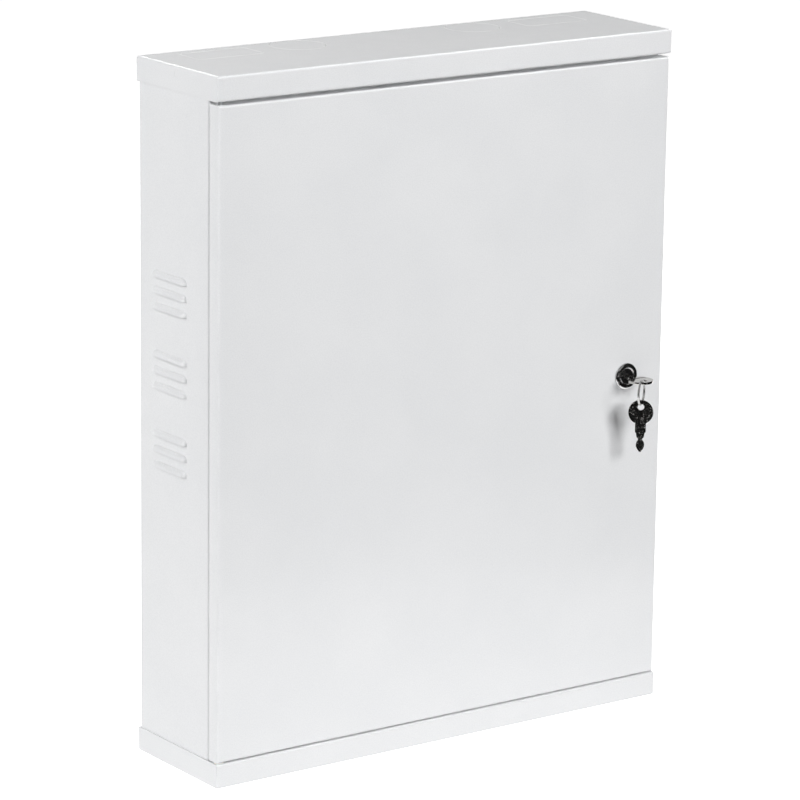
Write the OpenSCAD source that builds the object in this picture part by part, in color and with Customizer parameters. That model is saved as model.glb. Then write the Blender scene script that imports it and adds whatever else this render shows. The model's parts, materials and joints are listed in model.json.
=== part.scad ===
// Wall-hung key cabinet of folded sheet steel, with a pin-hinged door and a cam lock.
// X runs across the front, Y from the front towards the wall and Z up. The origin is the
// centre of the four wall-fixing holes, on the plane that lies against the wall.

/* [Case] */
// Overall width across the caps
case_w = 450; // [440:1:480]
// Overall height over the caps
case_h = 581; // [575:1:640]
// Overall depth from the wall to the front of the caps
case_d = 118; // [114:1:140]
// Thickness of the folded sheet
sheet = 1.2; // [1:0.1:1.3]
// Height of the flange round each cap
cap_flange = 20.5; // [19:0.5:24]
// Outer radius of every fold in the sheet
bend_r = 2; // [1.6:0.1:2.2]
// Width of the frame lips beside the door opening
lip_w = 15; // [12:1:18]

/* [Louvres] */
// Length of one louvre
louvre_len = 50.5; // [40:0.5:60]
// Height from one louvre to the next in a group
louvre_pitch = 13.1; // [12:0.1:16]
// Height from one group of louvres to the next
louvre_group_pitch = 65.6; // [50:0.1:75]
// Height of the top group's middle louvre above the case's middle
louvre_top_z = 102.9; // [80:0.1:140]

/* [Door] */
// Gap between the door and the top cap
door_gap_top = 2.8; // [2:0.1:4]
// Gap between the door and the bottom cap
door_gap_bottom = 1; // [0.8:0.1:1.5]
// Depth of the door pan from its front face to the edge of its folds
door_depth = 12.7; // [11:0.1:13]
// Radius of each hinge pin
pin_r = 2.3; // [2:0.1:2.5]

/* [Lock] */
// Distance of the lock from the middle of the door
lock_x = 185.5; // [175:0.5:186]
// Height of the lock above the middle of the case
lock_z = -1.6; // [-4:0.1:4]
// Radius of the lock's head
lock_head_r = 11.25; // [10:0.25:12]
// Height of the lock's head in front of the door
lock_head_h = 2.4; // [2.2:0.1:3]
// Length of the cam from the lock's axis to its tip
cam_reach = 34; // [33:1:36]
// Radius of a key's bow
bow_r = 10.5; // [10.2:0.1:11]
// Thickness of a key
key_t = 2; // [1.8:0.1:2.2]

/* [Key rails] */
// Number of hook rails, which is also the number of rails named in NODES
rail_count = 8; // [8:1:8]
// Number of hooks on each rail
hook_count = 10; // [6:1:10]
// Height from one rail to the next
rail_pitch = 64; // [60:1:64]
// Distance between hooks along a rail
hook_pitch = 36; // [30:1:36]

/* [Hidden] */
$fn = 96;
// Far enough to cut past any face
past = 1;
// Half sizes of the case
half_w = case_w / 2;
half_h = case_h / 2;
// Height of the cap lips that face the door, above and below the middle
lip_z = half_h - cap_flange;
// Outer side faces of the body, which sit inside the cap flanges
body_x = half_w - sheet;
// Rear face of the body's back panel
body_rear_y = -sheet;
// Front face of the frame lips behind the door
frame_y = -case_d + 14.2;
// How far the body stops short of the inside of each cap
body_end_gap = 1;
body_end_z = half_h - sheet - body_end_gap;
// Radius of the inside of a fold
fold_in = bend_r - sheet;
// How far the top and bottom frame flanges reach over the opening
frame_drop = 12;
// Clearance of the cap lips from the body's frame lips
frame_gap = 0.4;

// Wall fixings: half spacings, hole radius and radius of the pressed pads round them
fix_x = 150;
fix_z = 248;
fix_r = 4;
fix_pad_r = 15;

// Knockouts in the caps: places, sizes, groove width and the width of the tabs that hold them
knock_round_x = 87.5;
knock_round_y = -25;
knock_round_r = 23;
knock_slot_x = 163;
knock_slot = [62, 32.5];
knock_slot_y = -28.3;
knock_corner_r = 5;
knock_groove = 0.5;
knock_tab = 4;
// Spot-weld marks on the cap flanges
weld_r = 3;
weld_deep = 0.15;
weld_xs = [-160, -55, 55, 160];

// Louvres: radius of the pressed hood, how far it stands out and its place in depth
louvre_r = 6;
louvre_out = 2.8;
louvre_y = -47;
louvre_rows = 3;
louvre_groups = 3;

// Door faces and edges
door_front_y = -case_d + 0.2;
door_rear_y = door_front_y + door_depth;
door_in_y = door_front_y + sheet;
door_top_z = lip_z - door_gap_top;
door_low_z = -lip_z + door_gap_bottom;
door_x = body_x;
// Width of the fold behind the door's lock side
door_fold_w = 8;
// Hinge line
hinge_x = -door_x + 4.3;
hinge_y = -case_d + 5.1;
// Running clearance of the door on its pins, and close clearance where a pin is fixed
run_gap = 0.08;
fix_gap = 0.02;
pin_head_r = 2.9;
pin_head_h = 1.4;
pin_into_door = 2.5;
washer_r = 4;

// Door buffers
buffer_r = 3;
buffer_h = 1;
buffer_x = body_x - 5.8;
buffer_z = 225;

// Door stiffener, a top-hat channel
stiff_x = 108;
stiff_half_h = 235;
stiff_w = 24;
stiff_foot = 10;
stiff_deep = 9;

// Index card and its holder on the inside of the door
holder_x = -62;
holder_z = 40;
holder_w = 122;
holder_h = 172;
holder_t = 2.8;
holder_back = 0.8;
holder_rim = 4;
holder_cover = 1.1;
card_t = 0.4;
card_gap = 0.5;

// Rail uprights, top-hat channels on the back panel
back_y = body_rear_y - sheet;
upright_x = 186;
upright_half_w = 11;
upright_foot = 11;
upright_half_h = 262;
upright_front_y = back_y - 18.8;
rivet_x = 16.5;
rivet_zs = [-242, 0, 242];
rivet_r = 1.6;

// Hook rails
rail_half_len = 198;
rail_half_h = 13;
rail_lip = 2.4;
rail_rear_y = upright_front_y;
rail_web_y = rail_rear_y - sheet;
rail_top_z = rail_pitch * (rail_count - 1) / 2;
hook_r = 1.4;
hook_len = 20;
hook_rise = 20;
hook_z = -7;
strip_t = 0.8;
strip_half_len = 172;
strip_z = [1.5, 11];
screw_r = 1.95;
screw_head_r = 3.6;
screw_head_h = 2.2;

// Lock, whose places along Y are counted from the door's front face
head_y = door_front_y - lock_head_h;
lock_rim_h = 1.2;
barrel_r = 9.4;
barrel_flat = 8;
barrel_len = 20;
barrel_rear_y = door_front_y + barrel_len;
thread_pitch = 1.5;
thread_deep = 0.55;
plug_r = 6;
plug_head_r = 6.6;
plug_sunk = 0.6;
plug_head_deep = 2;
plug_gap = 0.05;
nut_flats = 22;
nut_t = 3;
tang = 7;
cam_t = 2;
cam_gap = 0.1;
cam_y = barrel_rear_y + cam_gap;
cam_rear_y = cam_y + cam_t;
cam_half_w = 7;
cam_hub_r = 9;
cam_washer_r = 6.2;
cam_washer_t = 1;
cam_screw_r = 1.95;
cam_screw_len = 5.4;
cam_screw_head = [4.2, 2.4];

// Keeper for the cam: its place and half heights, and the cam's clearance behind it
keeper_x = [209.4, 221.4];
keeper_half_h = 24;
keeper_crown = 13;
keeper_slope = 4;
keeper_gap = 0.6;

// Key, drawn with its bow's centre at the origin and its blade along +Y
key_shoulder = 17.4;
key_tip = 34.4;
key_neck_w = 9;
bow_hole_r = 2.8;
bow_hole_k = 4.45;
key_gap = 1.2;
key_y = head_y + plug_sunk - key_gap - key_shoulder;
keyway = [7.6, 2.6];
keyway_rear_y = key_y + key_tip + 0.8;
// Half widths of the blade at distances from the bow's centre
blade = [[17.3, 4.5], [17.8, 3.6], [21.6, 3.05], [22.9, 1.75], [24, 1.8],
    [25.5, 2.9], [27.4, 3.45], [29.8, 3.45], [32, 2.3], [key_tip, 0.5]];

// Wafers, their springs and their slots in the plug
wafer_ys = [for (i = [0:4]) head_y + 3.4 + 2.6 * i];
wafer_t = 1.2;
wafer_w = 6.4;
wafer_window = [7.8, 2.9];
wafer_play = 0.1;
spring_z = 4.3;
spring_pocket = [3, 5.1];
spring_lug_x = -2.2;
spring_r = 0.48;
spring_wire = 0.12;
spring_turns = 5;

// Key ring: heading of its plane, seen from above, then its two turns and its place
ring_heading = 38.3;
ring_r = 10.45;
ring_wire = 0.5;
ring_turn_x = 0.45;
ring_out = 6.6;
ring_side = 0.5;
ring_drop = 7.8;
ring_x = lock_x - ring_out * cos(ring_heading) - ring_side * sin(ring_heading);
ring_y = key_y - bow_hole_k - ring_out * sin(ring_heading) + ring_side * cos(ring_heading);
ring_z = lock_z - ring_drop;
// Spare key, which hangs on the ring and is turned a little from it
spare_turn = -36;
hang_gap = 0.45;
spare_z = ring_z - ring_r + ring_wire + hang_gap - bow_hole_r - bow_hole_k;

paint = [0.87, 0.88, 0.89];
zinc = [0.72, 0.73, 0.74];
plate = [0.55, 0.55, 0.56];

// ---- Shared shapes ----

// What a round corner of radius r takes off a square corner that points to -X and -Y.
module corner_waste(r) {
    difference() {
        translate([-past, -past])
            square(r + past);
        translate([r, r])
            circle(r);
    }
}

// A rectangle from corner a to corner b. Each entry of round is 1 where a corner is rounded,
// counted from the low corner anticlockwise.
module fold_rect(a, b, r, round = [1, 1, 1, 1]) {
    difference() {
        translate(a)
            square(b - a);
        if (round[0] == 1)
            translate(a)
                corner_waste(r);
        if (round[1] == 1)
            translate([b.x, a.y])
                rotate(90)
                    corner_waste(r);
        if (round[2] == 1)
            translate(b)
                rotate(180)
                    corner_waste(r);
        if (round[3] == 1)
            translate([a.x, b.y])
                rotate(270)
                    corner_waste(r);
    }
}

// Box from corner a to corner b.
module box(a, b) {
    translate(a)
        cube(b - a);
}

// Extrudes an outline drawn in X and Z along Y, from y0 to y1.
module along_y(y0, y1) {
    translate([0, y1, 0])
        rotate([90, 0, 0])
            linear_extrude(y1 - y0)
                children();
}

// Extrudes an outline drawn in Y and Z along X, from x0 to x1.
module along_x(x0, x1) {
    translate([x0, 0, 0])
        rotate([90, 0, 90])
            linear_extrude(x1 - x0)
                children();
}

// Extrudes an outline drawn in X and Y along Z, from z0 to z1.
module along_z(z0, z1) {
    translate([0, 0, z0])
        linear_extrude(z1 - z0)
            children();
}

// Round bar of radius r along Y, from y0 to y1.
module rod_y(r, y0, y1) {
    translate([0, y1, 0])
        rotate([90, 0, 0])
            cylinder(r = r, h = y1 - y0);
}

// Turns an outline of [radius, y] points about the Y axis.
module turned_y(points) {
    rotate([-90, 0, 0])
        rotate_extrude()
            polygon(points);
}

// Both copies of a shape that is the same on the left and the right.
module both_sides() {
    children();
    mirror([1, 0, 0])
        children();
}

// ---- Case ----

// Block as wide and deep as a cap, inset by g, with its folded edges rounded.
module cap_block(g, low) {
    r = bend_r - g;
    top = half_h - g;
    front_round = g == 0 ? 1 : 0;
    intersection() {
        along_y(-case_d, 0)
            fold_rect([-half_w + g, low], [half_w - g, top], r, [0, 0, 1, 1]);
        along_x(-half_w, half_w)
            fold_rect([-case_d + g, low], [-g, top], r, [front_round, 0, 1, 1]);
    }
}

// Section of the cap's inward lip, from the front flange to the frame lips.
module cap_lip_outline() {
    difference() {
        translate([-case_d, lip_z])
            square([frame_y - frame_gap + case_d, bend_r + sheet]);
        fold_rect([-case_d + sheet, lip_z + sheet], [0, half_h], fold_in, [1, 0, 0, 0]);
    }
}

// Section of the flange that closes the frame over the opening.
module cap_drop_outline() {
    difference() {
        fold_rect([-case_d + 2 * bend_r, lip_z - frame_drop - bend_r],
            [frame_y + sheet, lip_z + sheet], bend_r, [0, 0, 1, 0]);
        fold_rect([-case_d, lip_z - frame_drop - 2 * bend_r],
            [frame_y, lip_z], fold_in, [0, 0, 1, 0]);
        translate([-case_d, lip_z - frame_drop - 2 * bend_r])
            square([case_d, 2 * bend_r]);
    }
}

module round_knockout() {
    difference() {
        circle(knock_round_r);
        circle(knock_round_r - knock_groove);
        for (a = [0, 90])
            rotate(a)
                square([3 * knock_round_r, knock_tab], center = true);
    }
}

module slot_knockout() {
    half = knock_slot / 2;
    groove = [knock_groove, knock_groove];
    difference() {
        fold_rect(-half, half, knock_corner_r);
        fold_rect(-half + groove, half - groove, knock_corner_r - knock_groove);
        square([2 * knock_slot.x, knock_tab], center = true);
        square([knock_tab, 2 * knock_slot.y], center = true);
    }
}

module cap() {
    difference() {
        union() {
            difference() {
                cap_block(0, lip_z);
                cap_block(sheet, lip_z - past);
            }
            intersection() {
                cap_block(0, lip_z);
                along_x(-half_w + sheet / 2, half_w - sheet / 2)
                    cap_lip_outline();
            }
            along_x(-body_x + lip_w + sheet + frame_gap, body_x - lip_w - sheet - frame_gap)
                cap_drop_outline();
        }
        both_sides() {
            along_z(half_h - 2 * sheet, half_h + past)
                translate([knock_round_x, knock_round_y])
                    round_knockout();
            along_z(half_h - 2 * sheet, half_h + past)
                translate([knock_slot_x, knock_slot_y])
                    slot_knockout();
            translate([half_w - weld_deep, -case_d / 2, half_h - cap_flange / 3])
                rotate([0, 90, 0])
                    cylinder(r = weld_r, h = past);
        }
        for (x = weld_xs)
            translate([x, 0, half_h - cap_flange / 2])
                rod_y(weld_r, -weld_deep, past);
        translate([hinge_x, hinge_y, lip_z - past])
            cylinder(r = pin_r + fix_gap, h = 3 * past + sheet);
    }
}

module top_cap() {
    color(paint)
        cap();
}

module bottom_cap() {
    color(paint)
        mirror([0, 0, 1])
            cap();
}

// Capsule that a louvre's hood is pressed round, lying in the plane of the right side.
module louvre_form(r) {
    sunk = louvre_r - louvre_out;
    half = louvre_len / 2 - sqrt(louvre_r * louvre_r - sunk * sunk);
    translate([body_x - sunk, louvre_y, 0]) {
        rod_y(r, -half, half);
        for (y = [-half, half])
            translate([0, y, 0])
                sphere(r);
    }
}

// The upper half of that capsule, above the louvre's open lower edge.
module louvre_half(r, x0) {
    intersection() {
        louvre_form(r);
        box([x0, louvre_y - louvre_len, 0], [half_w + louvre_r, louvre_y + louvre_len, louvre_r]);
    }
}

module at_louvres() {
    both_sides()
        for (group = [0:louvre_groups - 1], row = [-1:louvre_rows - 2])
            translate([0, 0, louvre_top_z - group * louvre_group_pitch - row * louvre_pitch])
                children();
}

// Plan of the folded sheet: back, sides and frame lips.
module shell_outline() {
    difference() {
        fold_rect([-body_x, frame_y], [body_x, body_rear_y], bend_r);
        fold_rect([-body_x + sheet, frame_y + sheet], [body_x - sheet, back_y], fold_in);
        translate([-body_x + sheet + lip_w, frame_y - past])
            square([2 * (body_x - sheet - lip_w), 3 * sheet]);
    }
}

module at_fixings() {
    for (x = [-fix_x, fix_x], z = [-fix_z, fix_z])
        translate([x, 0, z])
            children();
}

module at_rivets() {
    both_sides()
        for (x = [-rivet_x, rivet_x], z = rivet_zs)
            translate([upright_x + x, 0, z])
                children();
}

module body_shell() {
    color(paint)
        difference() {
            union() {
                along_z(-body_end_z, body_end_z)
                    shell_outline();
                at_fixings()
                    rod_y(fix_pad_r, -1.5 * sheet, 0);
                at_louvres()
                    louvre_half(louvre_r, body_x - sheet / 2);
            }
            at_fixings() {
                rod_y(fix_r, back_y - past, past);
                rod_y(fix_pad_r - sheet, back_y - past, -sheet);
            }
            at_louvres()
                louvre_half(louvre_r - sheet, body_x - 2 * louvre_r);
            at_rivets()
                rod_y(rivet_r + fix_gap, back_y - past, past);
        }
}

// ---- Key rails ----

module upright() {
    difference() {
        union() {
            along_z(-upright_half_h, upright_half_h)
                difference() {
                    fold_rect([-upright_half_w, upright_front_y], [upright_half_w, back_y],
                        bend_r, [1, 1, 0, 0]);
                    fold_rect([-upright_half_w + sheet, upright_front_y + sheet],
                        [upright_half_w - sheet, past], fold_in, [1, 1, 0, 0]);
                }
            both_sides()
                box([upright_half_w - sheet / 2, back_y - sheet, -upright_half_h],
                    [upright_half_w + upright_foot, back_y, upright_half_h]);
        }
        for (x = [-rivet_x, rivet_x], z = rivet_zs)
            translate([x, 0, z])
                rod_y(rivet_r + fix_gap, back_y - 3 * sheet, 0);
        for (i = [0:rail_count - 1])
            translate([0, 0, rail_top_z - i * rail_pitch])
                rod_y(screw_r + fix_gap, upright_front_y - past, upright_front_y + 3 * sheet);
    }
}

module rail_upright_left() {
    color(paint)
        translate([-upright_x, 0, 0])
            upright();
}

module rail_upright_right() {
    color(paint)
        translate([upright_x, 0, 0])
            upright();
}

module upright_rivets() {
    foot_y = back_y - sheet;
    color(zinc)
        at_rivets()
            turned_y([[0, foot_y - 1], [1.8, foot_y - 0.9], [2.9, foot_y - 0.4], [3.1, foot_y],
                [rivet_r, foot_y], [rivet_r, body_rear_y], [2.4, body_rear_y],
                [2.2, body_rear_y + 0.7], [0, body_rear_y + 0.7]]);
}

// The straight, inclined bar of one hook, with a rounded tip.
module hook_bar(r) {
    translate([0, rail_rear_y, hook_z])
        rotate([-hook_rise, 0, 0]) {
            rod_y(r, -hook_len, 0);
            translate([0, -hook_len, 0])
                sphere(r);
        }
}

module at_hooks() {
    for (i = [0:hook_count - 1])
        translate([(i - (hook_count - 1) / 2) * hook_pitch, 0, 0])
            children();
}

module at_rail(i) {
    translate([0, 0, rail_top_z - (i - 1) * rail_pitch])
        children();
}

module hook_rail(i) {
    color(paint)
        at_rail(i)
            difference() {
                along_x(-rail_half_len, rail_half_len)
                    difference() {
                        fold_rect([rail_web_y - rail_lip, -rail_half_h],
                            [rail_rear_y, rail_half_h], bend_r, [0, 1, 1, 0]);
                        fold_rect([rail_web_y - 2 * rail_lip, -rail_half_h + sheet],
                            [rail_web_y, rail_half_h - sheet], fold_in, [0, 1, 1, 0]);
                    }
                at_hooks()
                    hook_bar(hook_r + fix_gap);
                for (x = [-upright_x, upright_x])
                    translate([x, 0, 0])
                        rod_y(screw_r + 0.2, rail_web_y - past, past);
            }
}

module hooks(i) {
    color(zinc)
        at_rail(i)
            at_hooks()
                hook_bar(hook_r);
}

module number_strip(i) {
    color("white")
        at_rail(i)
            box([-strip_half_len, rail_web_y - strip_t, strip_z[0]],
                [strip_half_len, rail_web_y, strip_z[1]]);
}

module rail_screws() {
    y = rail_web_y;
    h = screw_head_h;
    color(zinc)
        for (i = [1:rail_count])
            at_rail(i)
                for (x = [-upright_x, upright_x])
                    translate([x, 0, 0])
                        difference() {
                            turned_y([[0, y - h], [2.2, y - 0.9 * h], [3.2, y - 0.5 * h],
                                [screw_head_r, y], [screw_r, y], [screw_r, y + 7], [0, y + 8]]);
                            for (a = [0, 90])
                                rotate([0, a, 0])
                                    box([-0.4, y - 2 * h, -1.9], [0.4, y - 0.3 * h, 1.9]);
                        }
}

// ---- Hinge ----

// Upper hinge's pin, with its head inside the cap and its plain end in the door at end_z.
module hinge_pin(end_z) {
    top = lip_z + sheet;
    translate([hinge_x, hinge_y, 0])
        rotate_extrude()
            polygon([[0, end_z], [pin_r - 0.5, end_z], [pin_r, end_z + 0.5], [pin_r, top],
                [pin_head_r, top], [pin_head_r, top + pin_head_h - 0.4],
                [pin_head_r - 0.4, top + pin_head_h], [0, top + pin_head_h]]);
}

module hinge_pin_top() {
    color(zinc)
        hinge_pin(door_top_z - sheet - pin_into_door);
}

module hinge_pin_bottom() {
    color(zinc)
        mirror([0, 0, 1])
            hinge_pin(-door_low_z - sheet - pin_into_door);
}

module hinge_washer() {
    color("ivory")
        translate([hinge_x, hinge_y, -lip_z])
            difference() {
                cylinder(r = washer_r, h = door_gap_bottom - 0.05);
                translate([0, 0, -past])
                    cylinder(r = pin_r + 0.05, h = 4 * past);
            }
}

module door_buffers() {
    color([0.25, 0.25, 0.25])
        for (z = [-buffer_z, buffer_z])
            translate([buffer_x, 0, z])
                turned_y([[0, frame_y - buffer_h], [buffer_r - 0.6, frame_y - buffer_h],
                    [buffer_r, frame_y - 0.4], [buffer_r, frame_y], [0, frame_y]]);
}

// Top-hat strip on the rear of the lock side's frame lip, which the locked cam lies behind.
module cam_keeper() {
    foot_y = frame_y + sheet;
    crown_y = cam_y - keeper_gap;
    foot = keeper_crown + keeper_slope;
    // The inside corners are drawn in, so that the slopes are as thick as the rest
    inner = keeper_crown - sheet / 2;
    color(zinc)
        translate([0, 0, lock_z])
            along_x(keeper_x[0], keeper_x[1])
                polygon([[foot_y + sheet, -keeper_half_h], [foot_y + sheet, -foot],
                    [crown_y, -keeper_crown], [crown_y, keeper_crown],
                    [foot_y + sheet, foot], [foot_y + sheet, keeper_half_h],
                    [foot_y, keeper_half_h], [foot_y, inner + keeper_slope],
                    [crown_y - sheet, inner], [crown_y - sheet, -inner],
                    [foot_y, -inner - keeper_slope], [foot_y, -keeper_half_h]]);
}

// ---- Door ----

// Block as wide and tall as the door, inset by g, open to y1 behind.
module door_block(g, y1) {
    r = bend_r - g;
    intersection() {
        along_z(door_low_z + g, door_top_z - g)
            fold_rect([-door_x + g, door_front_y + g], [door_x - g, y1], r, [1, 1, 0, 0]);
        along_x(-door_x, door_x)
            fold_rect([door_front_y + g, door_low_z + g], [y1, door_top_z - g], r, [1, 0, 0, 1]);
    }
}

// Plan of the fold behind the lock side of the door.
module door_fold_outline() {
    intersection() {
        difference() {
            fold_rect([0, door_front_y], [door_x, door_rear_y], bend_r, [0, 0, 1, 0]);
            fold_rect([-past, door_front_y - past], [door_x - sheet, door_rear_y - sheet],
                fold_in, [0, 0, 1, 0]);
        }
        translate([door_x - door_fold_w, door_rear_y - 2 * bend_r])
            square([door_fold_w, 2 * bend_r]);
    }
}

module door_panel() {
    color(paint)
        difference() {
            union() {
                difference() {
                    door_block(0, door_rear_y);
                    door_block(sheet, door_rear_y + past);
                    // The lock side's rear corner, which the fold below rounds off
                    box([door_x - 2 * sheet, door_rear_y - 2 * bend_r, door_low_z + 2 * sheet],
                        [door_x + past, door_rear_y + past, door_top_z - 2 * sheet]);
                }
                along_z(door_low_z + 2 * sheet, door_top_z - 2 * sheet)
                    door_fold_outline();
            }
            intersection() {
                translate([lock_x, 0, lock_z])
                    rod_y(barrel_r + 0.15, door_front_y - past, door_in_y + past);
                box([0, door_front_y - 2 * past, lock_z - barrel_flat - 0.15],
                    [door_x, door_in_y + 2 * past, lock_z + barrel_flat + 0.15]);
            }
            translate([hinge_x, hinge_y, door_low_z - past])
                cylinder(r = pin_r + run_gap, h = door_top_z - door_low_z + 2 * past);
        }
}

module door_stiffener() {
    half = stiff_w / 2;
    color(paint)
        translate([stiff_x, 0, 0])
            along_z(-stiff_half_h, stiff_half_h)
                difference() {
                    union() {
                        fold_rect([-half, door_in_y], [half, door_in_y + stiff_deep],
                            bend_r, [0, 0, 1, 1]);
                        translate([-half - stiff_foot, door_in_y])
                            square([stiff_w + 2 * stiff_foot, sheet]);
                    }
                    fold_rect([-half + sheet, door_in_y - past],
                        [half - sheet, door_in_y + stiff_deep - sheet], fold_in, [0, 0, 1, 1]);
                }
}

module index_holder() {
    half = holder_w / 2;
    low = -holder_h / 2;
    card_y = door_in_y + holder_back;
    cover_y = door_in_y + holder_t - holder_cover;
    color([0.75, 0.78, 0.8])
        translate([holder_x, 0, holder_z])
            difference() {
                along_y(door_in_y, door_in_y + holder_t)
                    fold_rect([-half, low], [half, -low], 3);
                box([-half + holder_rim, card_y, low + holder_rim],
                    [half - holder_rim, cover_y, -low + past]);
                box([-half + 2 * holder_rim, card_y, low + 2 * holder_rim],
                    [half - 2 * holder_rim, cover_y + 2 * holder_cover, -low + past]);
            }
}

module index_card() {
    half = holder_w / 2 - holder_rim - card_gap;
    low = -holder_h / 2 + holder_rim;
    y = door_in_y + holder_back + 0.1;
    color("white")
        translate([holder_x, 0, holder_z])
            box([-half, y, low + 0.1], [half, y + card_t, -low - past]);
}

// ---- Lock ----

// Outline points of the threaded barrel from y0 to y1, at its thread's crests and roots.
function thread_points(y0, y1) = [
    for (i = [0:floor((y1 - y0) / thread_pitch) - 1])
        each [
            [barrel_r, y0 + (i + 0.1) * thread_pitch],
            [barrel_r - thread_deep, y0 + (i + 0.5) * thread_pitch],
            [barrel_r, y0 + (i + 0.9) * thread_pitch]
        ]
];

module lock_housing() {
    dish = 7.6;
    dish_deep = 0.8;
    crown = lock_head_h - lock_rim_h;
    bore = plug_r + plug_gap;
    counterbore = plug_head_r + plug_gap;
    step_y = head_y + plug_head_deep;
    thread_y = door_front_y + 2.2;
    color(plate)
        translate([lock_x, 0, lock_z])
            difference() {
                turned_y(concat(
                    [[bore, step_y], [counterbore, step_y], [counterbore, head_y + dish_deep],
                        [dish - dish_deep, head_y + dish_deep]],
                    // Crowned head, from the rim of the dish out to its edge
                    [for (a = [0:15:90])
                        [dish + (lock_head_r - dish) * sin(a), head_y + crown * (1 - cos(a))]],
                    [[lock_head_r, door_front_y], [barrel_r, door_front_y]],
                    thread_points(thread_y, barrel_rear_y),
                    [[barrel_r - 0.4, barrel_rear_y], [bore, barrel_rear_y]]));
                for (z = [barrel_flat, -2 * lock_head_r - barrel_flat])
                    box([-2 * lock_head_r, door_front_y, z],
                        [2 * lock_head_r, barrel_rear_y + past, z + 2 * lock_head_r]);
                // Channels that the wafers spring out into
                box([-7.3, step_y + 0.6, -wafer_w / 2 - 0.2],
                    [7.3, keyway_rear_y, wafer_w / 2 + 0.2]);
            }
}

module lock_nut() {
    color(zinc)
        translate([lock_x, 0, lock_z])
            difference() {
                translate([0, door_in_y + nut_t, 0])
                    rotate([90, 0, 0])
                        cylinder(r = nut_flats / sqrt(3), h = nut_t, $fn = 6);
                rod_y(barrel_r + 0.03, door_in_y - past, door_in_y + nut_t + past);
            }
}

module lock_plug() {
    face_y = head_y + plug_sunk;
    edge = 0.2;
    tang_y = cam_rear_y - 0.15;
    half = tang / 2;
    color(plate)
        translate([lock_x, 0, lock_z])
            difference() {
                union() {
                    turned_y([[0, face_y], [plug_head_r - edge, face_y],
                        [plug_head_r, face_y + edge], [plug_head_r, head_y + plug_head_deep - 0.05],
                        [plug_r, head_y + plug_head_deep - 0.05], [plug_r, cam_y - 0.02],
                        [0, cam_y - 0.02]]);
                    intersection() {
                        box([-half, cam_y - past, -half], [half, tang_y, half]);
                        rod_y(tang * 0.66, cam_y - past, tang_y);
                    }
                }
                box([-keyway.x / 2, face_y - past, -keyway.y / 2],
                    [keyway.x / 2, keyway_rear_y, keyway.y / 2]);
                for (y = wafer_ys) {
                    box([-plug_head_r, y - wafer_t / 2 - wafer_play, -wafer_w / 2 - wafer_play],
                        [plug_head_r, y + wafer_t / 2 + wafer_play, wafer_w / 2 + wafer_play]);
                    box([-spring_pocket.x, y - wafer_t / 2 - wafer_play, 0],
                        [spring_pocket.x, y + wafer_t / 2 + wafer_play, spring_pocket.y]);
                }
                rod_y(cam_screw_r + fix_gap, cam_rear_y - cam_screw_len, cam_rear_y + past);
            }
}

module lock_wafers() {
    color("gold")
        translate([lock_x, 0, lock_z])
            for (y = wafer_ys)
                difference() {
                    union() {
                        intersection() {
                            rod_y(plug_r - 0.1, y - wafer_t / 2, y + wafer_t / 2);
                            box([-plug_r, y - wafer_t, -wafer_w / 2],
                                [plug_r, y + wafer_t, wafer_w / 2]);
                        }
                        box([-spring_pocket.x + 0.1, y - wafer_t / 2, 0],
                            [spring_lug_x, y + wafer_t / 2, spring_pocket.y - 0.2]);
                    }
                    box([-wafer_window.x / 2, y - wafer_t, -wafer_window.y / 2],
                        [wafer_window.x / 2, y + wafer_t, wafer_window.y / 2]);
                }
}

// Point s of the way along a spring that runs along X from x0 to x1, v round its wire.
function coil_point(s, v, x0, x1) =
    let (turn = 360 * spring_turns * s, out = spring_r + spring_wire * cos(v))
    [x0 + (x1 - x0) * s + spring_wire * sin(v), out * cos(turn), out * sin(turn)];

// Coil spring swept as one closed tube.
module coil_spring(x0, x1) {
    rings = 8 * spring_turns;
    sides = 5;
    points = [
        for (i = [0:rings], j = [0:sides - 1])
            coil_point(i / rings, 360 * j / sides, x0, x1)
    ];
    walls = [
        for (i = [0:rings - 1], j = [0:sides - 1])
            let (a = i * sides + j, b = i * sides + (j + 1) % sides)
            each [[a, b, b + sides], [a, b + sides, a + sides]]
    ];
    start = [for (j = [0:sides - 1]) sides - 1 - j];
    end = [for (j = [0:sides - 1]) rings * sides + j];
    polyhedron(points, concat(walls, [start, end]), convexity = 10);
}

module wafer_springs() {
    color(zinc)
        for (y = wafer_ys)
            translate([lock_x, y, lock_z + spring_z])
                coil_spring(spring_lug_x + spring_wire + 0.05,
                    spring_pocket.x - spring_wire - 0.05);
}

module lock_cam() {
    half = tang / 2 + 0.05;
    color(zinc)
        translate([lock_x, 0, lock_z])
            difference() {
                union() {
                    rod_y(cam_hub_r, cam_y, cam_rear_y);
                    box([-cam_half_w, cam_y, -cam_reach + cam_half_w],
                        [cam_half_w, cam_rear_y, 0]);
                    translate([0, 0, -cam_reach + cam_half_w])
                        rod_y(cam_half_w, cam_y, cam_rear_y);
                }
                box([-half, cam_y - past, -half], [half, cam_rear_y + past, half]);
            }
}

module cam_washer() {
    teeth = 12;
    color(zinc)
        translate([lock_x, 0, lock_z])
            difference() {
                rod_y(cam_washer_r, cam_rear_y, cam_rear_y + cam_washer_t);
                rod_y(cam_screw_r + 0.15, cam_rear_y - past, cam_rear_y + 2 * cam_washer_t);
                for (i = [0:teeth - 1])
                    rotate([0, i * 360 / teeth, 0])
                        box([cam_washer_r - 0.9, cam_rear_y - past, -0.45],
                            [2 * cam_washer_r, cam_rear_y + 2 * cam_washer_t, 0.45]);
            }
}

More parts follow.
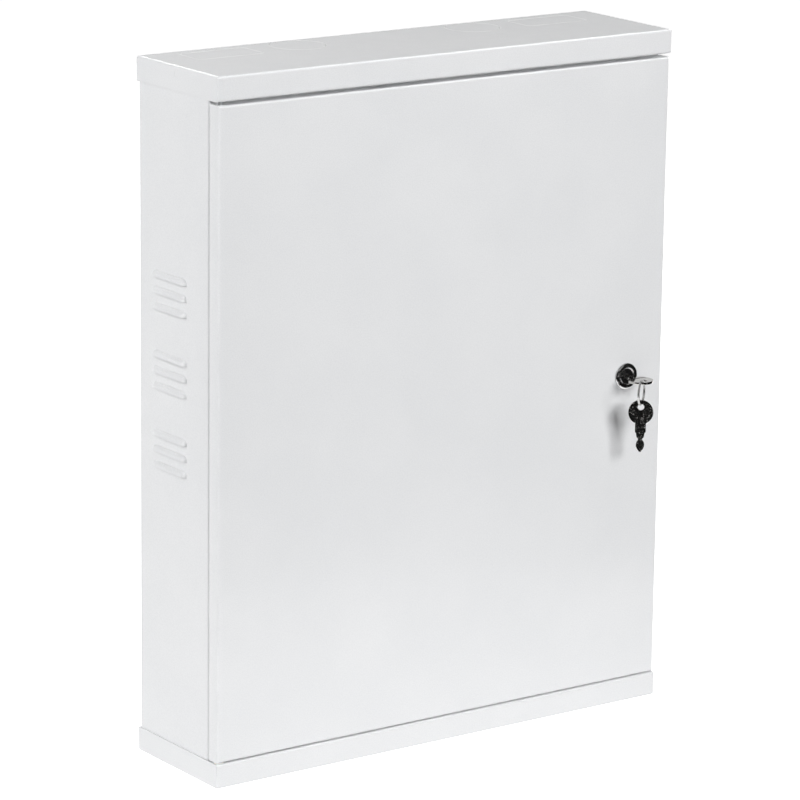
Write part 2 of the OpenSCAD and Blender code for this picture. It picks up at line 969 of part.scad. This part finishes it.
module cam_screw() {
    y = cam_rear_y + cam_washer_t;
    r = cam_screw_head[0];
    h = cam_screw_head[1];
    color(zinc)
        translate([lock_x, 0, lock_z])
            difference() {
                turned_y([[0, cam_rear_y - cam_screw_len + 0.2], [cam_screw_r - 0.4,
                    cam_rear_y - cam_screw_len + 0.2], [cam_screw_r,
                    cam_rear_y - cam_screw_len + 0.6], [cam_screw_r, y], [r, y],
                    [r - 0.3, y + 0.5 * h], [0.6 * r, y + 0.9 * h], [0, y + h]]);
                for (a = [0, 90])
                    rotate([0, a, 0])
                        box([-0.45, y + 0.3 * h, -2.2], [0.45, y + 2 * h, 2.2]);
            }
}

// ---- Keys ----

// Outline of a key: round bow, neck and a blade cut alike on both edges.
module key_outline() {
    right = [for (p = blade) [p[1], p[0]]];
    left = [for (i = [len(blade) - 1:-1:0]) [-blade[i][1], blade[i][0]]];
    difference() {
        union() {
            circle(bow_r);
            translate([-key_neck_w / 2, 0])
                square([key_neck_w, key_shoulder]);
            polygon(concat(right, left));
        }
        translate([0, -bow_hole_k])
            circle(bow_hole_r);
    }
}

module key_blank() {
    groove = [1.3, 0.4];
    label = [8, 2.1];
    label_deep = 0.2;
    difference() {
        translate([0, 0, -key_t / 2])
            linear_extrude(key_t)
                key_outline();
        for (side = [-1, 1])
            translate([0, 0, side * key_t / 2]) {
                // Milled groove along the blade
                box([-groove.x / 2, bow_r + 2.4, -groove.y], [groove.x / 2, key_tip + past, groove.y]);
                // Plain recess across the bow
                translate([0, 3.6, -label_deep])
                    linear_extrude(2 * label_deep)
                        fold_rect(-label, label, 0.8);
            }
    }
}

module key() {
    color(plate)
        translate([lock_x, key_y, lock_z])
            key_blank();
}

// Split ring, whose two turns of wire lie side by side.
module key_ring() {
    color(zinc)
        translate([ring_x, ring_y, ring_z])
            rotate([0, 0, ring_heading])
                rotate([90, 0, 0])
                    rotate_extrude()
                        for (side = [-1, 1])
                            translate([ring_r, side * ring_turn_x])
                                circle(ring_wire, $fn = 32);
}

module spare_key() {
    color(plate)
        translate([ring_x, ring_y, spare_z])
            rotate([0, 0, spare_turn])
                rotate([-90, 0, 0])
                    key_blank();
}

body_shell();
top_cap();
bottom_cap();
rail_upright_left();
rail_upright_right();
upright_rivets();
rail_screws();
for (i = [1:rail_count]) hook_rail(i);
for (i = [1:rail_count]) hooks(i);
for (i = [1:rail_count]) number_strip(i);
hinge_pin_top();
hinge_pin_bottom();
hinge_washer();
door_buffers();
cam_keeper();
door_panel();
door_stiffener();
index_holder();
index_card();
lock_housing();
lock_nut();
lock_plug();
lock_wafers();
wafer_springs();
lock_cam();
cam_washer();
cam_screw();
key();
key_ring();
spare_key();
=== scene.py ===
"""Looks, stage, light and camera for the key cabinet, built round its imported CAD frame."""
import json
import math

import bmesh
import bpy
from mathutils import Matrix, Vector


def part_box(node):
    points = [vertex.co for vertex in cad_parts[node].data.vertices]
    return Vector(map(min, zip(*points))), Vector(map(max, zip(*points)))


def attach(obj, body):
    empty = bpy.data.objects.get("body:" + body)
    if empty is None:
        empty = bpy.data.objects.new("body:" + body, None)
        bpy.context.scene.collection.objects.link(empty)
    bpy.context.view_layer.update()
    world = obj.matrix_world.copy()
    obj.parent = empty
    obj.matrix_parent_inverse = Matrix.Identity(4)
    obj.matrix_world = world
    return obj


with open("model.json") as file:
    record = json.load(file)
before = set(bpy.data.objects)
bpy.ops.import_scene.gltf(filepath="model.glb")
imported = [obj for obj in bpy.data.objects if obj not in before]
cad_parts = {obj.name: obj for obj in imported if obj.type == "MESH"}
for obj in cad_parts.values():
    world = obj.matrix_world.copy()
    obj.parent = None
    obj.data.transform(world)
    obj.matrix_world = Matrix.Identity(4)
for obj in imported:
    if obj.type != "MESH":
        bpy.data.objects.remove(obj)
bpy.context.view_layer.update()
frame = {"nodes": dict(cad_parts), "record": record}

MM = 0.001
nodes = frame["nodes"]


# ---- Counts and places taken from the frame ----

RAILS = sum(1 for name in nodes if name.startswith("hook_rail_"))
HOOKS = 10
case_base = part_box("bottom_cap")[0].z
plug_low, plug_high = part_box("lock_plug")
lock_axis = (plug_low + plug_high) / 2


# ---- Shader building ----

class Shader:
    """One Principled material and short calls that add nodes to it."""

    def __init__(self, name, **sockets):
        self.material = bpy.data.materials.new(name)
        self.material.use_nodes = True
        self.tree = self.material.node_tree
        self.bsdf = self.tree.nodes["Principled BSDF"]
        for socket, value in sockets.items():
            self.bsdf.inputs[socket.replace("_", " ")].default_value = value
        self.place = self.node("ShaderNodeTexCoord").outputs["Object"]

    def node(self, kind, **settings):
        made = self.tree.nodes.new(kind)
        for name, value in settings.items():
            setattr(made, name, value)
        return made

    def link(self, source, target):
        self.tree.links.new(source, target)

    def feed(self, source, socket):
        self.link(source, self.bsdf.inputs[socket])

    def vector(self, operation, first, second=(0, 0, 0)):
        """Vector maths on a socket and a constant; LENGTH gives a number."""
        made = self.node("ShaderNodeVectorMath", operation=operation)
        made.inputs[1].default_value = second
        self.link(first, made.inputs[0])
        return made.outputs["Value" if operation == "LENGTH" else "Vector"]

    def number(self, operation, first, second=0.0):
        """Maths on a socket and a second socket or constant."""
        made = self.node("ShaderNodeMath", operation=operation)
        self.link(first, made.inputs[0])
        if isinstance(second, bpy.types.NodeSocket):
            self.link(second, made.inputs[1])
        else:
            made.inputs[1].default_value = second
        return made.outputs[0]

    def stretched(self, scale, origin=(0, 0, 0)):
        """Object coordinates about an origin, scaled by different amounts along X, Y and Z."""
        return self.vector("MULTIPLY", self.vector("SUBTRACT", self.place, origin), scale)

    def noise(self, size, detail=2.0, place=None, rough=0.5):
        """Noise whose features are about `size` metres across."""
        made = self.node("ShaderNodeTexNoise")
        made.inputs["Scale"].default_value = 1 / size
        made.inputs["Detail"].default_value = detail
        made.inputs["Roughness"].default_value = rough
        self.link(place or self.place, made.inputs["Vector"])
        return made.outputs["Fac"]

    def cells(self, size):
        """Cell pattern whose cells are about `size` metres across."""
        made = self.node("ShaderNodeTexVoronoi")
        made.inputs["Scale"].default_value = 1 / size
        self.link(self.place, made.inputs["Vector"])
        return made.outputs["Distance"]

    def spread(self, source, low, high, start=0.3, end=0.7):
        """Maps a pattern from start..end to the numbers low..high."""
        made = self.node("ShaderNodeMapRange")
        made.inputs["From Min"].default_value = start
        made.inputs["From Max"].default_value = end
        made.inputs["To Min"].default_value = low
        made.inputs["To Max"].default_value = high
        self.link(source, made.inputs["Value"])
        return made.outputs["Result"]

    def colours(self, source, *stops):
        """Colour ramp over (position, colour) stops."""
        made = self.node("ShaderNodeValToRGB")
        ramp = made.color_ramp
        while len(ramp.elements) < len(stops):
            ramp.elements.new(0.5)
        for element, (position, colour) in zip(ramp.elements, stops):
            element.position = position
            element.color = (*colour, 1)
        self.link(source, made.inputs["Fac"])
        return made.outputs["Color"]

    def mixed(self, factor, first, second, blend="MIX"):
        """Colour mix; first and second are sockets or constant colours."""
        made = self.node("ShaderNodeMix", data_type="RGBA", blend_type=blend)
        for value, socket in ((factor, made.inputs[0]), (first, made.inputs[6]), (second, made.inputs[7])):
            if isinstance(value, bpy.types.NodeSocket):
                self.link(value, socket)
            else:
                socket.default_value = value
        return made.outputs[2]

    def bump(self, *layers):
        """Stacks bump layers of (height, strength, depth in metres) onto the normal."""
        normal = None
        for height, strength, depth in layers:
            made = self.node("ShaderNodeBump")
            made.inputs["Strength"].default_value = strength
            made.inputs["Distance"].default_value = depth
            self.link(height, made.inputs["Height"])
            if normal is not None:
                self.link(normal, made.inputs["Normal"])
            normal = made.outputs["Normal"]
        self.feed(normal, "Normal")


# ---- Materials ----

# Outlines of the caps' knockouts in mm: middle, half of the straight sides, corner radius; a painted
# highlight follows them
ROUND_KNOCKOUT = ((87.5, -25), (0, 0), 23)
SLOT_KNOCKOUT = ((163, -28.3), (26, 11.25), 5)
# Painted highlight band: full out to the first distance from an outline, faded out by the second
HIGHLIGHT_FULL_TO = 0.39 * MM
HIGHLIGHT_GONE_AT = 1.3 * MM


def knockout_edges(s):
    """Mask of the painted highlight: 1 along the sheared outlines of the knockouts, left and right, and 0
    away from them.
    """
    parts = s.node("ShaderNodeSeparateXYZ")
    s.link(s.place, parts.inputs[0])
    flat = s.node("ShaderNodeCombineXYZ")
    s.link(s.number("ABSOLUTE", parts.outputs["X"]), flat.inputs["X"])
    s.link(parts.outputs["Y"], flat.inputs["Y"])
    gaps = []
    for middle, straight, radius in (ROUND_KNOCKOUT, SLOT_KNOCKOUT):
        away = s.vector("SUBTRACT", flat.outputs[0], (middle[0] * MM, middle[1] * MM, 0))
        away = s.vector("ABSOLUTE", away)
        away = s.vector("SUBTRACT", away, (straight[0] * MM, straight[1] * MM, 0))
        away = s.vector("LENGTH", s.vector("MAXIMUM", away))
        gaps.append(s.number("ABSOLUTE", s.number("SUBTRACT", away, radius * MM)))
    return s.spread(s.number("MINIMUM", *gaps), 1, 0, HIGHLIGHT_FULL_TO, HIGHLIGHT_GONE_AT)


def powder_coat(name, painted_knockout_highlight=False):
    """Satin white powder coat: orange peel, fine grain, and, if asked, a painted highlight, a paler band
    along the knockout outlines.
    """
    s = Shader(name, IOR=1.5, Coat_Weight=0.25, Coat_Roughness=0.12)
    tone = s.colours(s.noise(90 * MM, 3), (0.35, (0.782, 0.79, 0.8)), (0.65, (0.806, 0.812, 0.82)))
    grain = s.colours(s.noise(0.9 * MM, 2), (0.36, (0.95, 0.95, 0.955)), (0.6, (1, 1, 1)))
    paint = s.mixed(1.0, tone, grain, "MULTIPLY")
    if painted_knockout_highlight:
        # Painted highlight: paler paint along the knockout outlines, standing in for their edges catching
        # the light
        paint = s.mixed(knockout_edges(s), paint, (0.92, 0.925, 0.93, 1))
    s.feed(paint, "Base Color")
    s.feed(s.spread(s.noise(14 * MM, 4), 0.36, 0.46), "Roughness")
    s.bump((s.noise(2.2 * MM, 1), 0.22, 0.06 * MM), (s.noise(0.5 * MM, 2), 0.25, 0.02 * MM))
    return s.material


def zinc_plate():
    """Bright zinc plate with a cloudy, faintly blue passivation and fine scuffs."""
    s = Shader("zinc_plate", Metallic=1.0)
    cloud = s.noise(4 * MM, 3)
    s.feed(s.colours(cloud, (0.3, (0.55, 0.57, 0.6)), (0.55, (0.66, 0.67, 0.68)),
                     (0.75, (0.7, 0.69, 0.65))), "Base Color")
    s.feed(s.spread(s.noise(1.5 * MM, 4), 0.24, 0.42), "Roughness")
    scuff = s.noise(0.5 * MM, 3, s.stretched((1, 1, 0.15)))
    s.bump((scuff, 0.25, 0.02 * MM))
    return s.material


def turned_chrome():
    """Chrome plate over turned brass, with faint tool rings round the lock's axis."""
    s = Shader("turned_chrome", Metallic=1.0)
    about = s.stretched((1, 0, 1), lock_axis)
    rings = s.node("ShaderNodeTexWave", wave_type="RINGS", rings_direction="SPHERICAL")
    rings.inputs["Scale"].default_value = 1 / (6 * MM)
    rings.inputs["Distortion"].default_value = 0.4
    s.link(about, rings.inputs["Vector"])
    smudge = s.noise(3 * MM, 4)
    s.feed(s.colours(smudge, (0.3, (0.5, 0.5, 0.51)), (0.7, (0.58, 0.58, 0.58))), "Base Color")
    s.feed(s.spread(smudge, 0.07, 0.16), "Roughness")
    s.bump((rings.outputs["Fac"], 0.12, 0.01 * MM), (s.noise(0.4 * MM, 2), 0.08, 0.005 * MM))
    return s.material


def key_nickel():
    """Nickel-plated key metal: tumbled, with fine scratches along and across the blade."""
    s = Shader("key_nickel", Metallic=1.0)
    wear = s.noise(2.5 * MM, 4)
    s.feed(s.colours(wear, (0.3, (0.5, 0.49, 0.47)), (0.7, (0.6, 0.59, 0.57))), "Base Color")
    s.feed(s.spread(s.noise(1.4 * MM, 5), 0.09, 0.34, 0.5, 0.7), "Roughness")
    along = s.noise(0.25 * MM, 3, s.stretched((1, 0.12, 1)))
    down = s.noise(0.25 * MM, 3, s.stretched((1, 1, 0.12)))
    dents = s.noise(1.1 * MM, 3)
    s.bump((dents, 0.14, 0.05 * MM), (along, 0.12, 0.01 * MM), (down, 0.12, 0.01 * MM))
    return s.material


def ring_steel():
    """Drawn steel wire with light streaks round its turn."""
    s = Shader("ring_steel", Metallic=1.0)
    streak = s.noise(0.6 * MM, 3, s.stretched((1, 1, 0.4)))
    s.feed(s.colours(streak, (0.3, (0.5, 0.5, 0.5)), (0.7, (0.68, 0.68, 0.67))), "Base Color")
    s.feed(s.spread(streak, 0.14, 0.28), "Roughness")
    s.bump((streak, 0.15, 0.01 * MM))
    return s.material


def stamped_brass():
    """Stamped brass with a dull skin and brighter scuffs."""
    s = Shader("stamped_brass", Metallic=1.0)
    skin = s.noise(1.5 * MM, 4)
    s.feed(s.colours(skin, (0.3, (0.55, 0.38, 0.15)), (0.7, (0.74, 0.56, 0.27))), "Base Color")
    s.feed(s.spread(skin, 0.25, 0.42), "Roughness")
    s.bump((s.noise(0.3 * MM, 2), 0.2, 0.01 * MM))
    return s.material


def nylon():
    """Natural nylon: ivory, slightly see-through, with a moulded grain."""
    s = Shader("nylon", IOR=1.53, Subsurface_Weight=0.25, Subsurface_Scale=1.5 * MM)
    s.feed(s.colours(s.noise(3 * MM, 2), (0.3, (0.76, 0.75, 0.71)), (0.7, (0.82, 0.81, 0.77))),
           "Base Color")
    s.feed(s.spread(s.noise(1 * MM, 3), 0.38, 0.5), "Roughness")
    s.bump((s.noise(0.3 * MM, 2), 0.2, 0.01 * MM))
    return s.material


def rubber():
    """Dark buffer rubber, dusty and matt."""
    s = Shader("rubber", IOR=1.5)
    dust = s.noise(1.2 * MM, 4)
    s.feed(s.colours(dust, (0.35, (0.02, 0.02, 0.021)), (0.75, (0.065, 0.063, 0.06))), "Base Color")
    s.feed(s.spread(dust, 0.6, 0.85), "Roughness")
    s.bump((s.cells(0.4 * MM), 0.3, 0.03 * MM))
    return s.material


def clear_plastic():
    """Clear moulded plastic with a grey tint and hairline scratches."""
    s = Shader("clear_plastic", IOR=1.49, Transmission_Weight=0.92)
    haze = s.noise(12 * MM, 3)
    s.feed(s.colours(haze, (0.3, (0.86, 0.9, 0.92)), (0.7, (0.93, 0.95, 0.96))), "Base Color")
    scratch = s.noise(0.5 * MM, 2, s.stretched((0.06, 1, 1)))
    s.feed(s.spread(scratch, 0.06, 0.2, 0.45, 0.75), "Roughness")
    s.bump((scratch, 0.06, 0.01 * MM))
    return s.material


def card_paper():
    """Uncoated white card with visible fibres."""
    s = Shader("card_paper", IOR=1.45)
    fibre = s.noise(0.8 * MM, 5, s.stretched((0.35, 1, 1)), 0.65)
    s.feed(s.colours(fibre, (0.3, (0.74, 0.735, 0.71)), (0.6, (0.83, 0.825, 0.805))), "Base Color")
    s.feed(s.spread(fibre, 0.75, 0.9), "Roughness")
    s.bump((fibre, 0.3, 0.03 * MM))
    return s.material


def strip_plastic():
    """White label plastic, a little glossier than the paint behind it."""
    s = Shader("strip_plastic", IOR=1.52)
    s.feed(s.colours(s.noise(40 * MM, 3), (0.35, (0.83, 0.83, 0.81)), (0.65, (0.87, 0.87, 0.855))),
           "Base Color")
    s.feed(s.spread(s.noise(3 * MM, 4), 0.26, 0.4), "Roughness")
    s.bump((s.noise(0.7 * MM, 2), 0.12, 0.02 * MM))
    return s.material


def print_ink():
    """Black printing ink with uneven cover."""
    s = Shader("print_ink", IOR=1.45)
    cover = s.noise(0.35 * MM, 4)
    s.feed(s.colours(cover, (0.35, (0.018, 0.018, 0.02)), (0.75, (0.07, 0.07, 0.075))), "Base Color")
    s.feed(s.spread(cover, 0.4, 0.6), "Roughness")
    return s.material


FINISHES = {
    "white_paint": powder_coat("white_powder_coat"),
    "zinc_steel": zinc_plate(),
    "lock_chrome": turned_chrome(),
    "key_nickel": key_nickel(),
    "ring_steel": ring_steel(),
    "brass": stamped_brass(),
    "spring_steel": zinc_plate(),
    "nylon": nylon(),
    "rubber": rubber(),
    "clear_plastic": clear_plastic(),
    "card": card_paper(),
    "strip_plastic": strip_plastic(),
}
INK = print_ink()
# The caps' paint, with a painted highlight along the knockout outlines
CAP_PAINT_WITH_HIGHLIGHT = powder_coat("cap_powder_coat_painted_highlight", painted_knockout_highlight=True)


def finish_nodes():
    """Gives every CAD node the finish of its material slot, and the caps their own paint, with a painted
    highlight along the knockouts.
    """
    for part in frame["record"]["subparts"]:
        cap = part["node"] in ("top_cap", "bottom_cap")
        material = CAP_PAINT_WITH_HIGHLIGHT if cap else FINISHES[part["material_slot"]]
        for slot in nodes[part["node"]].material_slots:
            slot.material = material


# ---- Softened edges ----

def soften(names, width):
    """Rounds the sharp edges of small metal parts, so that they catch the light."""
    for name in names:
        weld = nodes[name].modifiers.new("weld", "WELD")
        weld.merge_threshold = 0.002 * MM
        bevel = nodes[name].modifiers.new("edges", "BEVEL")
        bevel.width = width
        bevel.segments = 2
        bevel.limit_method = "ANGLE"
        bevel.angle_limit = math.radians(40)
        bevel.harden_normals = True


# ---- Printing on the strips and the card ----

INK_DEPTH = 0.04 * MM
HOOK_R = 1.4 * MM
STRIP_DIGITS = 5.2 * MM
STRIP_TICK = 0.35 * MM
CARD_DIGITS = 3 * MM
CARD_LINE = 0.22 * MM
CARD_COLUMNS = 4
CARD_SIDE = 6 * MM
CARD_HEAD = 13 * MM
CARD_FOOT = 8 * MM
FONT_CAP_HEIGHT = 0.7


class Print:
    """Collects flat ink shapes into one mesh piece. Right and up are unit vectors on the surface."""

    def __init__(self, right):
        self.right = Vector(right)
        self.up = Vector((0, 0, 1))
        self.out = self.right.cross(self.up)
        self.mesh = bmesh.new()

    def place(self, point):
        """Turns flat shapes upright and stands them on a point of the surface."""
        turn = Matrix((self.right, self.up, self.out)).transposed().to_4x4()
        return Matrix.Translation(point + self.out * (INK_DEPTH / 2)) @ turn

    def number(self, value, point, height):
        """A number centred on a point of the surface."""
        curve = bpy.data.curves.new("digits", "FONT")
        curve.body = str(value)
        curve.size = height / FONT_CAP_HEIGHT
        curve.align_x = "CENTER"
        curve.align_y = "CENTER"
        curve.resolution_u = 3
        curve.extrude = INK_DEPTH / 2
        holder = bpy.data.objects.new("digits", curve)
        flat = holder.to_mesh()
        flat.transform(self.place(point))
        self.mesh.from_mesh(flat)
        holder.to_mesh_clear()
        bpy.data.objects.remove(holder)
        bpy.data.curves.remove(curve)

    def bar(self, point, width, height):
        """A rectangle centred on a point of the surface."""
        size = Matrix.Diagonal((width, height, INK_DEPTH, 1))
        bmesh.ops.create_cube(self.mesh, size=1, matrix=self.place(point) @ size)

    def piece(self, name, body, slot):
        """Makes one scene piece of all the shapes, and lets it ride on a body."""
        bmesh.ops.remove_doubles(self.mesh, verts=self.mesh.verts, dist=0.001 * MM)
        bmesh.ops.recalc_face_normals(self.mesh, faces=self.mesh.faces)
        data = bpy.data.meshes.new(name)
        self.mesh.to_mesh(data)
        self.mesh.free()
        made = bpy.data.objects.new(name, data)
        bpy.context.scene.collection.objects.link(made)
        made.data.materials.append(INK)
        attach(made, body)


def print_strip(i):
    """Numbers one rail's strip, one number over each hook, with a tick between neighbours."""
    low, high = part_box(f"number_strip_{i}")
    hooks_low, hooks_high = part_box(f"hooks_{i}")
    middle = (low + high) / 2
    pitch = (hooks_high.x - hooks_low.x - 2 * HOOK_R) / (HOOKS - 1)
    ink = Print((1, 0, 0))
    for k in range(HOOKS):
        x = hooks_low.x + HOOK_R + k * pitch
        ink.number((i - 1) * HOOKS + k + 1, Vector((x, low.y, middle.z)), STRIP_DIGITS)
        if k:
            ink.bar(Vector((x - pitch / 2, low.y, middle.z)), STRIP_TICK, 0.7 * (high.z - low.z))
    ink.piece(f"strip_numbers_{i}", "cabinet", "strip_plastic")


def print_card():
    """Rules the index card into numbered columns."""
    low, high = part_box("index_card")
    rows = RAILS * HOOKS // CARD_COLUMNS
    left = high.x - CARD_SIDE
    width = (high.x - low.x - 2 * CARD_SIDE) / CARD_COLUMNS
    top = high.z - CARD_HEAD
    pitch = (top - low.z - CARD_FOOT) / rows
    ink = Print((-1, 0, 0))

    def at(across, down):
        return Vector((left - across, high.y, top - down))

    for row in range(rows + 1):
        heavy = 2.5 if row in (0, rows) else 1
        across = CARD_COLUMNS * width
        ink.bar(at(across / 2, row * pitch), across, heavy * CARD_LINE)
    for column in range(CARD_COLUMNS + 1):
        ink.bar(at(column * width, rows * pitch / 2), 2 * CARD_LINE, rows * pitch)
    for column in range(CARD_COLUMNS):
        ink.bar(at((column + 0.3) * width, rows * pitch / 2), CARD_LINE, rows * pitch)
        for row in range(rows):
            point = at((column + 0.15) * width, (row + 0.5) * pitch)
            ink.number(column * rows + row + 1, point, CARD_DIGITS)
    ink.piece("card_rules", "door", "card")


# ---- Stage ----

FLOOR_R = 40.0
BOUNCE = 0.78
BOUNCE_R = 1.2
BOUNCE_X = -0.12
VAULT_R = 0.6
VAULT_RISE = 0.66
VAULT_REACH = math.radians(80)
VAULT_TOP = math.radians(62)
VAULT_STEPS = (24, 8)
CAMERA_AIM = Vector((-5.3, -58.1, -9.3)) * MM
CAMERA_TURN = (-35.528, 14.126)
CAMERA_ROLL = math.radians(0.718)
CAMERA_DISTANCE = 3.4902
CAMERA_LENS = 189.3
SENSOR = 36


def plain_material(name, colour):
    """Matt colour without a sheen, whose glow is off until something is fed to it."""
    return Shader(name, Base_Color=(*colour, 1), Roughness=0.9, Specular_IOR_Level=0.0,
                  Emission_Color=(1, 1, 1, 1), Emission_Strength=0.0)


def towards(azimuth, elevation):
    """Direction from the case to a place in the room; azimuth 0 is straight in front of the door."""
    a, e = math.radians(azimuth), math.radians(elevation)
    return Vector((math.sin(a) * math.cos(e), -math.cos(a) * math.cos(e), math.sin(e)))


def stage_piece(name, mesh, height, shader):
    """Puts a stage mesh in the scene at a height above or below the case's middle."""
    data = bpy.data.meshes.new(name)
    mesh.to_mesh(data)
    mesh.free()
    made = bpy.data.objects.new(name, data)
    made.location = (0, 0, height)
    bpy.context.scene.collection.objects.link(made)
    data.materials.append(shader.material)
    return made


def show_only_to(kind, piece):
    """Hides a stage piece from every kind of ray but one."""
    for other in ("camera", "diffuse", "glossy", "transmission", "shadow"):
        setattr(piece, f"visible_{other}", other == kind)


def glowing_disc(name, radius, height, colour, near, far, start, end):
    """Disc that glows by `near` out to `start` and by `far` from `end` outwards."""
    mesh = bmesh.new()
    bmesh.ops.create_circle(mesh, cap_ends=True, segments=64, radius=radius)
    s = plain_material(name, colour)
    away = s.vector("LENGTH", s.place)
    s.feed(s.spread(away, near, far, start, end), "Emission Strength")
    return stage_piece(name, mesh, height, s)


def make_floor():
    """Pale, softly glowing table top, and the light that it throws back onto the case."""
    floor = glowing_disc("floor", FLOOR_R, case_base, (0.62, 0.62, 0.62),
                         near=0.95, far=1.0, start=0.25, end=1.6)
    floor.visible_diffuse = False
    bounce = glowing_disc("bounce", BOUNCE_R, case_base - 1 * MM, (0.02, 0.02, 0.02),
                          near=BOUNCE, far=0.1 * BOUNCE, start=0.3, end=1.1)
    bounce.location.x = BOUNCE_X
    show_only_to("diffuse", bounce)


def make_dark_room():
    """Dark vault that only gloss sees: the unlit room in front of the table."""
    across, up = VAULT_STEPS
    mesh = bmesh.new()
    before = None
    for i in range(across + 1):
        a = VAULT_REACH * (2 * i / across - 1)
        column = []
        for j in range(up + 1):
            e = VAULT_TOP * j / up
            out = VAULT_R * math.cos(e)
            place = (out * math.sin(a), -out * math.cos(a), VAULT_RISE * math.sin(e))
            column.append(mesh.verts.new(place))
        if before:
            for j in range(up):
                mesh.faces.new((before[j], column[j], column[j + 1], before[j + 1]))
        before = column
    vault = stage_piece("dark_room", mesh, case_base, plain_material("dark_room", (0.01, 0.01, 0.01)))
    show_only_to("glossy", vault)


def make_light(name, azimuth, elevation, distance, wide, tall, strength, gloss=True, diffuse=True):
    """Soft box aimed at the case. Strength is what a white wall facing it would return."""
    back = towards(azimuth, elevation)
    data = bpy.data.lights.new(name, "AREA")
    data.shape = "RECTANGLE"
    data.size = wide
    data.size_y = tall
    data.energy = strength * math.pi ** 2 * distance ** 2
    light = bpy.data.objects.new(name, data)
    light.location = back * distance
    light.rotation_mode = "QUATERNION"
    light.rotation_quaternion = back.to_track_quat("Z", "Y")
    light.visible_camera = False
    light.visible_glossy = gloss
    light.visible_diffuse = diffuse
    bpy.context.scene.collection.objects.link(light)


def make_sky():
    """White room, brighter round the horizon than overhead."""
    world = bpy.data.worlds.new("room")
    world.use_nodes = True
    tree = world.node_tree
    background = tree.nodes["Background"]
    background.inputs["Color"].default_value = (1, 1, 1, 1)
    place = tree.nodes.new("ShaderNodeTexCoord")
    parts = tree.nodes.new("ShaderNodeSeparateXYZ")
    height = tree.nodes.new("ShaderNodeMapRange")
    for socket, value in {"From Min": 0.08, "From Max": 0.6, "To Min": 1.0, "To Max": 0.5}.items():
        height.inputs[socket].default_value = value
    tree.links.new(place.outputs["Generated"], parts.inputs[0])
    tree.links.new(parts.outputs["Z"], height.inputs["Value"])
    tree.links.new(height.outputs["Result"], background.inputs["Strength"])
    world.cycles_visibility.diffuse = False
    bpy.context.scene.world = world
    bpy.context.scene.view_settings.view_transform = "Standard"


def make_camera():
    """Long lens aimed at the case from its left and a little above."""
    back = towards(*CAMERA_TURN)
    data = bpy.data.cameras.new("camera")
    data.sensor_width = SENSOR
    data.lens = CAMERA_LENS
    data.clip_start = 0.1
    data.clip_end = 100
    camera = bpy.data.objects.new("camera", data)
    camera.location = CAMERA_AIM + back * CAMERA_DISTANCE
    turn = back.to_track_quat("Z", "Y").to_matrix() @ Matrix.Rotation(CAMERA_ROLL, 3, "Z")
    camera.rotation_mode = "QUATERNION"
    camera.rotation_quaternion = turn.to_quaternion()
    bpy.context.scene.collection.objects.link(camera)
    bpy.context.scene.camera = camera


finish_nodes()
soften(["lock_housing", "lock_plug", "key", "spare_key"], 0.18 * MM)
soften(["lock_cam", "cam_washer", "lock_nut"], 0.15 * MM)
for rail in range(1, RAILS + 1):
    print_strip(rail)
print_card()
make_floor()
make_dark_room()
make_sky()
# Azimuth and elevation in degrees, then distance, width and height in metres, then strength
make_light("key_light", 9, 20.5, 2.2, 0.95, 0.6, 0.7)
make_light("left_fill", -88, 28, 2.2, 1.6, 1.6, 0.8)
make_light("front_fill", -30, 12, 2.5, 2.6, 2.6, 0.1)
make_light("top_light", 60, 72, 2.4, 1.2, 1.2, 0.12, gloss=False)
make_light("right_fill", 100, 6, 2.5, 1.2, 1.2, 0.5, gloss=False)
make_light("back_fill", 180, 6, 2.5, 1.2, 1.2, 0.5, gloss=False)
make_light("front_edge_glint", 64, 52, 2.0, 0.7, 0.5, 0.4, diffuse=False)
make_light("left_edge_glint", 174, 41, 2.0, 0.6, 0.4, 0.2, diffuse=False)
make_camera()
